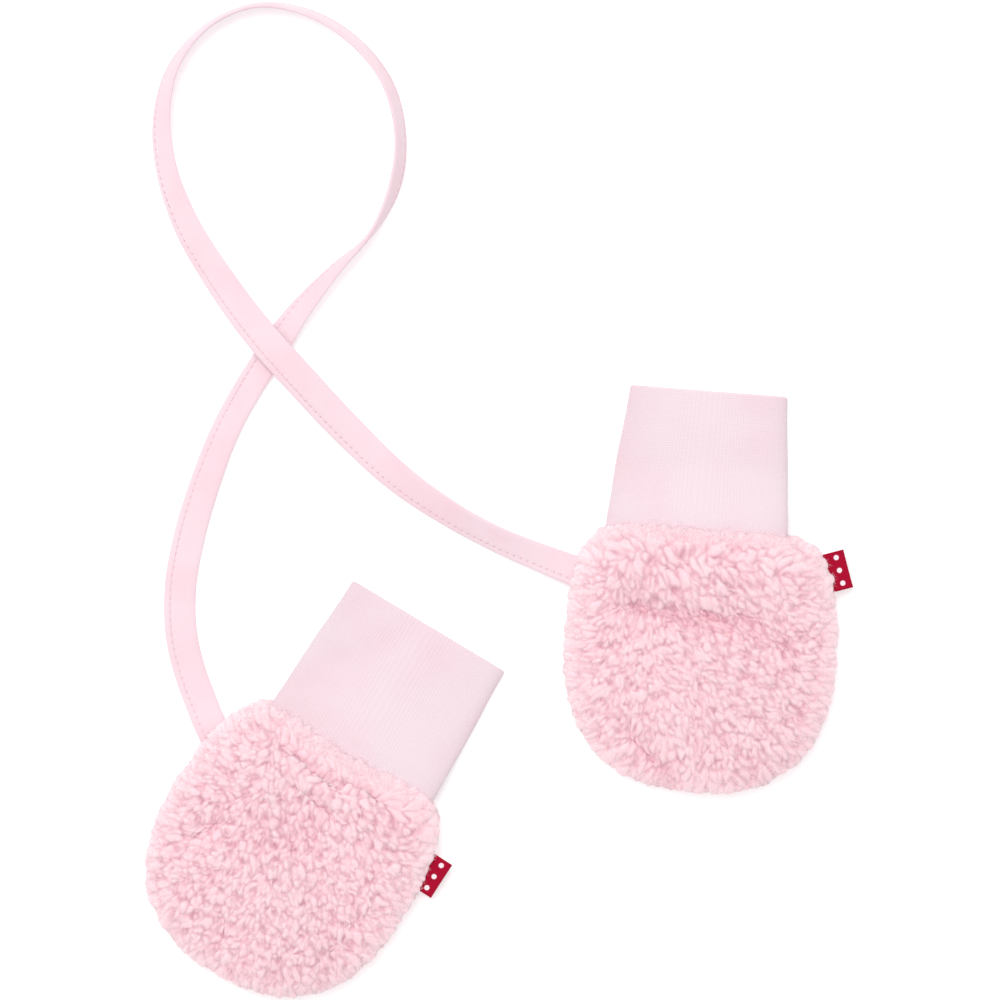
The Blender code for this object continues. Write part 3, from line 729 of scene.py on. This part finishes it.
def shell(name, side):
    """Backing shell over (out, round) from the middle to the seam, its outer and inner faces
    joined round the seam and closed in the middle by a fan."""
    out = np.linspace(0, 1, SHELL_RINGS + 1)[1:]
    out = (out * (2 - out))[:, None]
    angle = np.linspace(0, 2 * math.pi, SHELL_ROUND, endpoint=False)[None, :]
    k = np.arange(SHELL_ROUND)
    points, bodies, fans = [], [], []
    skin_points = SHELL_RINGS * SHELL_ROUND + 1
    for first, shrink in ((0, 0.0), (skin_points, BACKING)):
        points += [backing_at(np.zeros(1), np.zeros(1), name, side, shrink),
                   backing_at(out, angle, name, side, shrink).reshape(-1, 3)]
        body = quads(SHELL_RINGS, SHELL_ROUND, True) + first + 1
        fan = np.stack([np.full_like(k, first), first + 1 + k, first + 1 + np.roll(k, -1)], -1)
        turn = 1 if (side == "front") == (first > 0) else -1
        bodies.append(body[:, ::turn])
        fans.append(fan[:, ::-turn])
    k = k + 1 + (SHELL_RINGS - 1) * SHELL_ROUND
    rim = np.stack([k, k + skin_points, np.roll(k, -1) + skin_points, np.roll(k, -1)], -1)
    rim = rim if side == "front" else rim[:, ::-1]
    points = np.concatenate(points)
    faces = [*bodies, rim, *fans]
    corner = np.concatenate([block.reshape(-1) for block in faces])
    inner = np.concatenate([np.full(block.size, skin)
                            for block, skin in zip(faces, (0, 1, 0, 0, 1))])
    bake = 0.25 + 0.5 * inner[:, None] + 0.23 * points[corner, :2] / SHELL_REACH
    return cloth_mesh(f"{name}_{side}_fleece", laid(points, name), faces, {"OFBake": bake})


def backing_material():
    """The knitted backing between the locks: deep pink, matt, with fine uneven patches."""
    material, surface = shader("fleece_backing", FLEECE_ROOT, 0.95, {
        "Specular IOR Level": 0.1, "Sheen Weight": 0.4})
    patches = speckle(surface, 0.8 * MM, 4.0)
    tinted(surface, mixed(patches, FLEECE_ROOT, FLEECE_MIDDLE))
    embossed(surface, patches, 0.6, 0.5 * MM)
    return material


# The way the locks lie: at these places from the mitten's middle, in millimetres, their tips
# point this way, in degrees from the table's +X.
COMBED = {
    "right": ((-21, 28, -95), (-13, 21, -72), (2, 23, -60), (23, 25, -50), (41, 18, -40),
              (9, 9, -38), (30, 11, -48), (16, -3, -42), (34, -14, -52), (-6, -7, -35),
              (-27, 4, -110), (-38, 4, -150), (-34, -18, -105), (-23, -36, -95), (-6, -21, -72),
              (16, -29, -62), (2, -43, -90), (37, -29, -45), (-20, 40, 100), (2, 41, 85),
              (23, 40, 70)),
    "left": ((2, 7, -92), (-22, 11, -120), (-37, 2, -170), (21, 11, -75), (35, 2, -55),
             (2, -17, -90), (-22, -22, -112), (26, -17, -72), (2, -41, -90), (12, 36, 60),
             (27, 27, 55), (-3, 24, -80), (-18, 28, 150)),
}
COMBED_REACH = 6.0 * MM             # how gently the way changes from one place to the next
# Distance between locks, length and half width of a lock, and how deep the furrows are.
LOCKS = {"right": dict(space=2.4 * MM, long=5.6 * MM, wide=1.10 * MM, deep=0.92),
         "left": dict(space=2.2 * MM, long=4.5 * MM, wide=1.10 * MM, deep=1.0)}
TUFTS = 900                         # each is some locks that cling together
# How far single locks stray: the spread of their place in distances between locks, of their way
# and curl in radians, of the logs of their length and width, and of their tone and keenness.
STRAY = dict(place=0.26, way=0.16, curl=0.30, long=0.25, wide=0.22, tone=0.20, keen=0.22)
TUFT_STRAY = dict(way=0.16, tone=0.22, keen=0.22)  # and whole tufts likewise
RIM_FROM, RIM_OVER = 0.72, 0.22     # locks turn outwards from this share of the reach, over this
RIM_BIGGER = 0.35                   # and are bigger there by this much
BAR_BIGGER, BAR_AT, BAR_HALF = 0.70, 37 * MM, 10 * MM  # as they are in the bar under the mouth
FURROW_DEEP = (0.55, 0.85)          # between the locks of one tuft, and between tufts
CHART_CELL, CHART_REACH = 0.25 * MM, 64 * MM  # the flat chart that the locks are drawn on
CHART_SOFT = 2                      # rounds of evening out between its cells
# Where the haze over the cuff starts, in millimetres in the mitten's frame: in the middle of the
# mouth, and how much further up at its ends.
HAZE = {"right": (35.0, 2.5), "left": (28.0, 7.0)}
HAZE_OVER = 9 * MM                  # and it is full this much further up
PELT_CELLS = {"front": 300, "back": 190}  # cells across a panel's pile
PILE_SEED = {"right": {"front": 20, "back": 20}, "left": {"front": 21, "back": 22}}
FUZZ_SEED = {"right": 24, "left": 25}
FUZZ_COUNT, FUZZ_LONG, FUZZ_THICK = 10000, 2.2 * MM, 0.09 * MM
# also the colour of the fibres' faint glow, a painted light
FUZZ_PINK = (0.93, 0.76, 0.80)
# The pile's colour deepens toward the root colour in the depth between the locks, a painted shade.
FLEECE_ROOT = (0.83, 0.44, 0.51)
FLEECE_MIDDLE = (0.87, 0.565, 0.625)
FLEECE_TIP = (0.885, 0.67, 0.71)
# painted shade in the furrows between the locks
FLEECE_CREASE_SHADE = (0.60, 0.29, 0.36)
# pale colour of the haze over the cuff, also painted on the rim as painted light
FLEECE_HAZE_AND_RIM_LIGHT = (0.90, 0.71, 0.745)


def combed(x, y, name):
    """Direction of the pile at places on the mitten: that of all the combed places together,
    each weighing less with the fourth power of its distance."""
    rows = np.array(COMBED[name], float)
    gap = (x[:, None] - rows[:, 0] * MM) ** 2 + (y[:, None] - rows[:, 1] * MM) ** 2
    weight = 1 / (gap + COMBED_REACH ** 2) ** 2
    way = np.radians(rows[:, 2])
    sums = np.stack([(weight * np.cos(way)).sum(1), (weight * np.sin(way)).sum(1)], -1)
    return sums / np.linalg.norm(sums, axis=1)[:, None]


def over_cuff(x, y, name):
    """1 along the mouth, where the pile thins out to a haze over the cuff, and 0 below it. The
    haze dips in the middle of the mouth and its lower edge is ragged."""
    from_middle = (x - CUFFS[name]["shift"][0]) / (CUFFS[name]["width"][0] / 2)
    start = (HAZE[name][0] + HAZE[name][1] * from_middle ** 2) * MM
    start = start + 1.0 * MM * soft_noise(x, y, 46, 8 * MM)
    return eased((y - start) / HAZE_OVER) / (1 + from_middle ** 12)


def run_of_panel(name, side):
    """Length of cloth from the panel's middle to each share of its reach, as a share of the
    whole, and what the rolled rim adds to the whole."""
    share = np.linspace(0, 1, 400)
    points = backing_at(share, np.full(share.shape, -math.pi / 2), name, side, 0.0)
    run = np.append(0, np.cumsum(np.linalg.norm(np.diff(points, axis=0), axis=1)))
    return share, run / run[-1], run[-1] - np.hypot(*points[-1, :2])


def locks_of(name, side, draw):
    """The locks of a panel on the flat cloth, on a triangular lattice shifted unevenly, and fewer
    where they are big. A lock lies the way the pile is combed, turned outwards near the rim, and
    those of one tuft share a turn and a tone. Returns their middles, ways, lengths, half widths,
    curls, tones, how keenly they bid, and tufts."""
    size = LOCKS[name]
    column, row = np.meshgrid(np.arange(-30, 31), np.arange(-35, 36))
    lock_x = ((column + 0.5 * (row % 2)) * size["space"]).ravel()
    lock_y = (row * size["space"] * math.sqrt(0.75)).ravel()
    count = len(lock_x)
    lock_x = lock_x + draw.normal(0, STRAY["place"], count) * size["space"]
    lock_y = lock_y + draw.normal(0, STRAY["place"], count) * size["space"]
    angle = np.arctan2(lock_y, lock_x)
    share_table, run_table, rim_extra = run_of_panel(name, side)
    reach = outline(angle, name) - PILE
    share = np.interp(np.hypot(lock_x, lock_y) / (reach + rim_extra), run_table, share_table)
    flat_x, flat_y = share * reach * np.cos(angle), share * reach * np.sin(angle)
    turn = math.radians(PLACES[name][2])
    nap = combed(*turned(flat_x, flat_y, turn), name)
    way = np.arctan2(nap[:, 1], nap[:, 0]) - turn
    rim = np.clip((share - RIM_FROM) / RIM_OVER, 0, 1)
    way = np.arctan2(np.sin(way) * (1 - rim) + np.sin(angle) * rim * 1.3,
                     np.cos(way) * (1 - rim) + np.cos(angle) * rim * 1.3)
    way = way + 0.28 * soft_noise(lock_x, lock_y, 31, 11 * MM) + draw.normal(0, STRAY["way"], count)
    big = 1 + BAR_BIGGER * np.exp(-((flat_y - BAR_AT) / BAR_HALF) ** 2) + RIM_BIGGER * rim
    big = big * np.exp(0.16 * soft_noise(lock_x, lock_y, 34, 14 * MM))
    kept = draw.uniform(0, 1, count) < big ** -1.6
    lock_x, lock_y, way, big = lock_x[kept], lock_y[kept], way[kept], big[kept]
    count = len(lock_x)
    tuft_x, tuft_y = draw.uniform(-CHART_REACH, CHART_REACH, (2, 1, TUFTS))
    ahead, beside = turned(lock_x[:, None] - tuft_x, lock_y[:, None] - tuft_y, -way[:, None])
    tuft = np.argmin(ahead ** 2 + (1.6 * beside) ** 2, axis=1)
    way = way + draw.normal(0, TUFT_STRAY["way"], TUFTS)[tuft]
    long = size["long"] * big * np.exp(draw.normal(0, STRAY["long"], count))
    wide = size["wide"] * big * np.exp(draw.normal(0, STRAY["wide"], count))
    keen = draw.normal(0, STRAY["keen"], count) + draw.normal(0, TUFT_STRAY["keen"], TUFTS)[tuft]
    curl = draw.normal(0, STRAY["curl"], count)
    tone = 0.5 + draw.normal(0, STRAY["tone"], count)
    tone = np.clip(tone + draw.normal(0, TUFT_STRAY["tone"], TUFTS)[tuft], 0, 1)
    return lock_x, lock_y, way, long, wide, curl, tone, keen, tuft


def lock_chart(name, side, draw):
    """The pile drawn on the flat cloth. Each lock bids -e^2 + 0.6 u for the cloth round it,
    where e is the distance from its middle in lock widths and u runs from its root to its tip,
    and a keen lock bids more; the best bid has the place, and where the next bid is close there
    is a furrow, deeper between tufts than between the locks of one tuft. Returns, at each cell,
    height, distance from the furrows, place along and across the lock, and tone."""
    cells = np.arange(-CHART_REACH, CHART_REACH, CHART_CELL)
    x, y = np.meshgrid(cells, cells)
    warp_x, warp_y = (flat + 0.30 * MM * soft_noise(x, y, seed, 4.0 * MM)
                      + 0.07 * MM * soft_noise(x, y, seed + 1, 1.5 * MM)
                      for flat, seed in ((x, 41), (y, 43)))
    BEST, NEXT, ALONG, ACROSS, TONE, KEEN, TUFT, NEXT_TUFT = range(8)
    chart = np.zeros((8,) + x.shape)
    chart[[BEST, NEXT]] = -9.0
    locks = zip(*locks_of(name, side, draw))
    for lock_x, lock_y, way, long, wide, curl, tone, keen, tuft in locks:
        span = int(0.9 * long / CHART_CELL) + 2
        i, j = (int((place + CHART_REACH) / CHART_CELL) for place in (lock_y, lock_x))
        if min(i, j) < span or max(i, j) > len(cells) - span - 1:
            continue
        window = (slice(i - span, i + span + 1), slice(j - span, j + span + 1))
        u, across = turned(warp_x[window] - lock_x, warp_y[window] - lock_y, -way)
        u = u / long
        across = across - curl * long * u ** 2
        bid = keen + 0.6 * u - (2 * u) ** 2 - (across / (wide * (1 + 0.4 * u))) ** 2
        here = chart[(slice(None),) + window]
        above = bid > here[BEST]
        second = np.where(bid > here[NEXT], tuft, here[NEXT_TUFT])
        here[NEXT_TUFT] = np.where(above, here[TUFT], second)
        here[NEXT] = np.maximum(here[NEXT], np.minimum(here[BEST], bid))
        for layer, value in ((BEST, bid), (ALONG, u * long / MM), (ACROSS, across / MM),
                             (TONE, tone), (KEEN, keen), (TUFT, tuft)):
            here[layer] = np.where(above, value, here[layer])
    furrow = np.clip(chart[BEST] - chart[NEXT], 0, 1)
    deep = np.where(chart[TUFT] == chart[NEXT_TUFT], *FURROW_DEEP)
    deep = deep + 0.40 * soft_noise(x, y, 45, 4 * MM)
    deep = np.clip(deep, 0.1, 1.3) * LOCKS[name]["deep"]
    dome = np.clip(1 + (chart[BEST] - chart[KEEN]) / 2, 0, 1)
    height = (0.78 - 0.50 * deep * (1 - np.sqrt(furrow)) + 0.22 * dome + 0.20 * chart[KEEN]
              + 0.11 * soft_noise(x, y, 32, 9 * MM))
    shape = np.stack([np.clip(height, 0.3, 1.15), 1 - deep * (1 - furrow)])
    for axis in (1, 2) * CHART_SOFT:
        shape = (np.roll(shape, 1, axis) + 2 * shape + np.roll(shape, -1, axis)) / 4
    return np.concatenate([shape, chart[[ALONG, ACROSS, TONE]]])


def pelt_grid(cells):
    """A square lattice squeezed into a disc: the share is the larger of |a| and |b|, and the
    angle runs evenly along each square ring."""
    a, b = np.meshgrid(np.linspace(-1, 1, cells + 1), np.linspace(-1, 1, cells + 1))
    wide = np.abs(a) >= np.abs(b)
    over_a = b / np.where(a == 0, 1, a)
    over_b = a / np.where(b == 0, 1, b)
    angle = np.where(wide, math.pi / 4 * over_a + np.where(a < 0, math.pi, 0),
                     math.pi / 2 * np.sign(b) - math.pi / 4 * over_b)
    return np.maximum(np.abs(a), np.abs(b)), angle


def pile(name, side):
    """The pile of one panel as one close surface: the backing's outer face, moved out along its own
    normal by the height on the chart of locks. Its marks tell the material each place's lock,
    depth, furrow and paleness; a fold's hollow counts as deeper, a painted shade in the folds, and
    the paleness holds the haze over the cuff and a painted light along the rim."""
    chart = lock_chart(name, side, np.random.default_rng(PILE_SEED[name][side]))
    ring, angle = pelt_grid(PELT_CELLS[side])
    share_table, run_table, rim_extra = run_of_panel(name, side)
    share = np.interp(ring, run_table, share_table)

    # The backing's outer face, and its normal from small steps out and round.
    tiny = 1e-4
    base = backing_at(share, angle, name, side, 0.0)
    inward = backing_at(np.maximum(share - tiny, 0), angle, name, side, 0.0)
    ahead = backing_at(np.maximum(share - tiny, 0) + tiny, angle, name, side, 0.0)
    beside = backing_at(share + tiny, angle + tiny, name, side, 0.0)
    before = backing_at(share + tiny, angle - tiny, name, side, 0.0)
    out = np.cross(ahead - inward, beside - before)
    out /= np.linalg.norm(out, axis=-1)[..., None]
    out = out if side == "front" else -out

    # Height and furrow, read off the chart between its cells at the cloth's own place.
    run = ring * (outline(angle, name) - PILE + rim_extra)
    spot_x = (run * np.cos(angle) + CHART_REACH) / CHART_CELL
    spot_y = (run * np.sin(angle) + CHART_REACH) / CHART_CELL
    i, j = np.floor(spot_y).astype(int), np.floor(spot_x).astype(int)
    v, u = spot_y - i, spot_x - j
    height, leaf = (chart[:2, i, j] * (1 - u) * (1 - v) + chart[:2, i, j + 1] * u * (1 - v)
                    + chart[:2, i + 1, j] * (1 - u) * v + chart[:2, i + 1, j + 1] * u * v)

    # In the haze the pile is lower and more even, and it ends at the seam. There and at the rim its
    # furrows fill, so their painted shade fades; the rim is also painted paler, most toward the
    # mouth, as painted light.
    flat_x, flat_y = base[..., 0].copy(), base[..., 1].copy()
    haze = over_cuff(flat_x, flat_y, name)
    rim = np.clip((ring - 0.76) / 0.20, 0, 1) ** 2 * (0.75 + 0.30 * np.sin(angle))
    height = height + 0.6 * haze * (0.40 + 0.10 * soft_noise(flat_x, flat_y, 48, 4 * MM) - height)
    leaf = 1 - (1 - leaf) * (1 - 0.85 * haze) * (1 - 0.45 * rim)
    height = np.where(ring > 1 - 0.5 / PELT_CELLS[side], 0, height)

    # The front's edge along the mouth is ragged and comes down on the cuff.
    edge = np.clip((ring - 0.93) / 0.07, 0, 1) ** 2 * haze * (side == "front")
    base[..., 1] += edge * (2.0 + 0.9 * soft_noise(flat_x, flat_x * 0, 47, 3.5 * MM)) * MM
    base[..., 2] += edge * (fall(base[..., 1]) + CUFF_HALF + 0.08 * MM - base[..., 2])
    height = height * (1 - edge)
    points = laid(base + out * (PILE * height)[..., None], name)
    rows = PELT_CELLS[side] + 1
    faces = quads(rows, rows, False)
    if side == "back":  # its locks are pressed flat where they rest
        flattened = 0.15 * MM + 0.25 * MM * (1 - np.clip(height, 0, 1))
        points[..., 2] = np.maximum(points[..., 2], flattened)
        faces = faces[:, ::-1]
    corner = faces.reshape(-1)
    bake = np.column_stack([(corner % rows) / rows, (corner // rows) / rows]) * 0.98 + 0.01
    # Painted shade: a fold's hollow is marked deeper, so the material paints it darker.
    fold_shade = np.clip(-pressed(flat_x, flat_y, FOLDS[name]) / (2 * MM), 0, 1) * (side == "front")
    marks = {"lock": np.moveaxis(chart[2:, i, j], 0, -1).reshape(-1, 3),
             "pile": np.stack([height - 0.3 * fold_shade, leaf - 0.2 * fold_shade,
                               np.maximum(1.3 * haze, rim)], -1).reshape(-1, 3)}
    return cloth_mesh(f"{name}_{side}_pile", points.reshape(-1, 3), [faces],
                      {"OFBake": bake}, marks)


def unit(vectors):
    """Rows of three numbers, each brought to a length of one."""
    return vectors / np.linalg.norm(vectors, axis=1)[:, None]


def fuzz(name, pelt):
    """Loose fibres that stand out of the front's locks, thicker round the rim and thickest where
    they hang over the mouth: each is a thin three-sided sliver with one bend that tapers from
    its root in the pile to a point."""
    draw = np.random.default_rng(FUZZ_SEED[name])
    ring, angle = pelt_grid(PELT_CELLS["front"])
    spots, normals = (np.empty(3 * ring.size, np.float32) for _ in range(2))
    pelt.data.vertices.foreach_get("co", spots)
    pelt.data.vertices.foreach_get("normal", normals)

    # Where the fibres stand: at points of the pelt, drawn by weight.
    at_mouth = np.clip(np.sin(angle) * 5 - 3.2, 0, 1)
    weight = (0.5 + 2.0 * (ring > 0.86) * (ring < 0.99) + 3.5 * at_mouth * (ring > 0.90)).ravel()
    pick = draw.choice(ring.size, FUZZ_COUNT, p=weight / weight.sum())
    root, out = (table.reshape(-1, 3)[pick].astype(float) for table in (spots, normals))
    ring = ring.ravel()[pick, None]
    at_mouth = at_mouth.ravel()[pick, None] * np.clip((ring - 0.84) / 0.08, 0, 1)
    rim = np.clip((ring - 0.80) / 0.1, 0, 1) * (1 - at_mouth)

    # Each leaves the pile between the normal and the combed way, then strays once more.
    nap = combed(root[:, 0] - PLACES[name][0], root[:, 1] - PLACES[name][1], name)
    nap = np.column_stack([nap, np.zeros(FUZZ_COUNT)])
    stray = draw.normal(0, 1, (2, FUZZ_COUNT, 3))
    way = unit((0.5 - 0.3 * at_mouth) * out + 0.7 * nap * (1 - rim) + 0.35 * stray[0])
    then = unit(way + 0.45 * stray[1])
    long = (FUZZ_LONG * np.exp(draw.normal(0, 0.3, FUZZ_COUNT)))[:, None]
    root = root - 0.2 * MM * out
    bend = root + way * long * 0.55
    tip = bend + then * long * 0.45

    # Three points round the root, three round the bend and one at the tip.
    u = unit(np.cross(way, [0.31, 0.17, 0.94]))
    v = np.cross(way, u)
    turns = np.arange(3)[:, None] * 2 * math.pi / 3
    round_it = u[:, None] * np.cos(turns) + v[:, None] * np.sin(turns)
    points = np.concatenate([root[:, None] + FUZZ_THICK / 2 * round_it,
                             bend[:, None] + FUZZ_THICK / 2.6 * round_it, tip[:, None]], 1)
    points[..., 2] = np.maximum(points[..., 2], 0.1 * MM)
    sides = repeat_faces(np.array([[0, 1, 4, 3], [1, 2, 5, 4], [2, 0, 3, 5]]), FUZZ_COUNT, 7)
    ends = repeat_faces(np.array([[3, 4, 6], [4, 5, 6], [5, 3, 6], [2, 1, 0]]), FUZZ_COUNT, 7)
    place = np.array([[0.1, 0.1], [0.5, 0.0], [0.9, 0.1], [0.1, 0.6], [0.5, 0.6], [0.9, 0.6],
                      [0.5, 0.95]])
    corner = np.concatenate([sides.reshape(-1), ends.reshape(-1)])
    columns = math.isqrt(FUZZ_COUNT)
    row, column = np.divmod(corner // 7, columns)
    bake = (np.column_stack([column, row]) + 0.05 + 0.9 * place[corner % 7]) / columns
    return cloth_mesh(name + "_fuzz", points.reshape(-1, 3), [sides, ends], {"OFBake": bake})


def pile_material():
    """Teddy fleece fibre. The colour pales from the depth between the locks to their tips, a
    painted shade in the depth, a lock is a little paler or pinker than the next, and its fibres are
    fine streaks along it. Its furrows and the hollows of its folds are painted darker, as painted
    shade; the haze over the cuff is paler, and the rim is painted paler as painted light."""
    material, surface = shader("fleece_pile", FLEECE_TIP, 0.9, {
        "Specular IOR Level": 0.1, "Sheen Weight": 0.35, "Sheen Roughness": 0.6,
        "Subsurface Weight": 0.6, "Subsurface Radius": (0.85, 0.45, 0.5),
        "Subsurface Scale": 1.0 * MM})
    marks = [node(surface, "Attribute", {}, attribute_name=name).outputs["Vector"]
             for name in ("pile", "lock")]
    depth, leaf, soft = split(marks[0])
    along, across, tone = split(marks[1])
    # Painted shade: deeper pink in the depth between the locks.
    colour = mixed(ramp(depth, 0.25, 0.6), FLEECE_ROOT, FLEECE_MIDDLE)
    colour = mixed(ramp(depth, 0.5, 0.95), colour, FLEECE_TIP)
    colour = mixed(ramp(tone, 0.0, 1.0, 0.25, 0.0), colour, FLEECE_MIDDLE)
    stretched = node(surface, "CombineXYZ", {"X": maths("MULTIPLY", along, 0.35),
                                             "Y": maths("MULTIPLY", across, 2.2),
                                             "Z": maths("MULTIPLY", tone, 40.0)})
    fibre = node(surface, "TexNoise", {"Vector": stretched.outputs[0], "Scale": 1.0, "Detail": 3.0,
                                       "Distortion": 0.8}).outputs[0]
    colour = mixed(ramp(fibre, 0.35, 0.7, 0.26, 0.0), colour, FLEECE_ROOT)
    # Painted shade: darker still into the furrows between the locks.
    colour = mixed(ramp(leaf, 0.0, 0.8, 0.75, 0.0), colour, FLEECE_CREASE_SHADE)
    # Paler in the haze over the cuff, and at the rim as painted light.
    tinted(surface, mixed(maths("MULTIPLY", soft, 0.7), colour, FLEECE_HAZE_AND_RIM_LIGHT))
    embossed(surface, fibre, 0.6, 0.3 * MM)
    return material


def glowing_fuzz_material():
    """Single fibres: pale and matt, and kept bright by a faint glow of their own, a painted light.
    """
    # Painted light: the fibres glow a little.
    return shader("fleece_fuzz", FUZZ_PINK, 1.0, {
        "Specular IOR Level": 0.0, "Emission Color": (*FUZZ_PINK, 1.0),
        "Emission Strength": 0.22})[0]


backing_cloth, pile_cloth, glowing_fuzz_cloth = backing_material(), pile_material(), glowing_fuzz_material()
for side_name in PLACES:
    for face in ("front", "back"):
        panel, locks = shell(side_name, face), pile(side_name, face)
        panel.data.materials.append(backing_cloth)
        locks.data.materials.append(pile_cloth)
        coat = [locks]
        if face == "front":
            coat.append(fuzz(side_name, locks))
            coat[1].data.materials.append(glowing_fuzz_cloth)
        for piece in [panel] + coat:
            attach(piece, "root")
        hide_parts(f"{side_name}_{face}_panel")
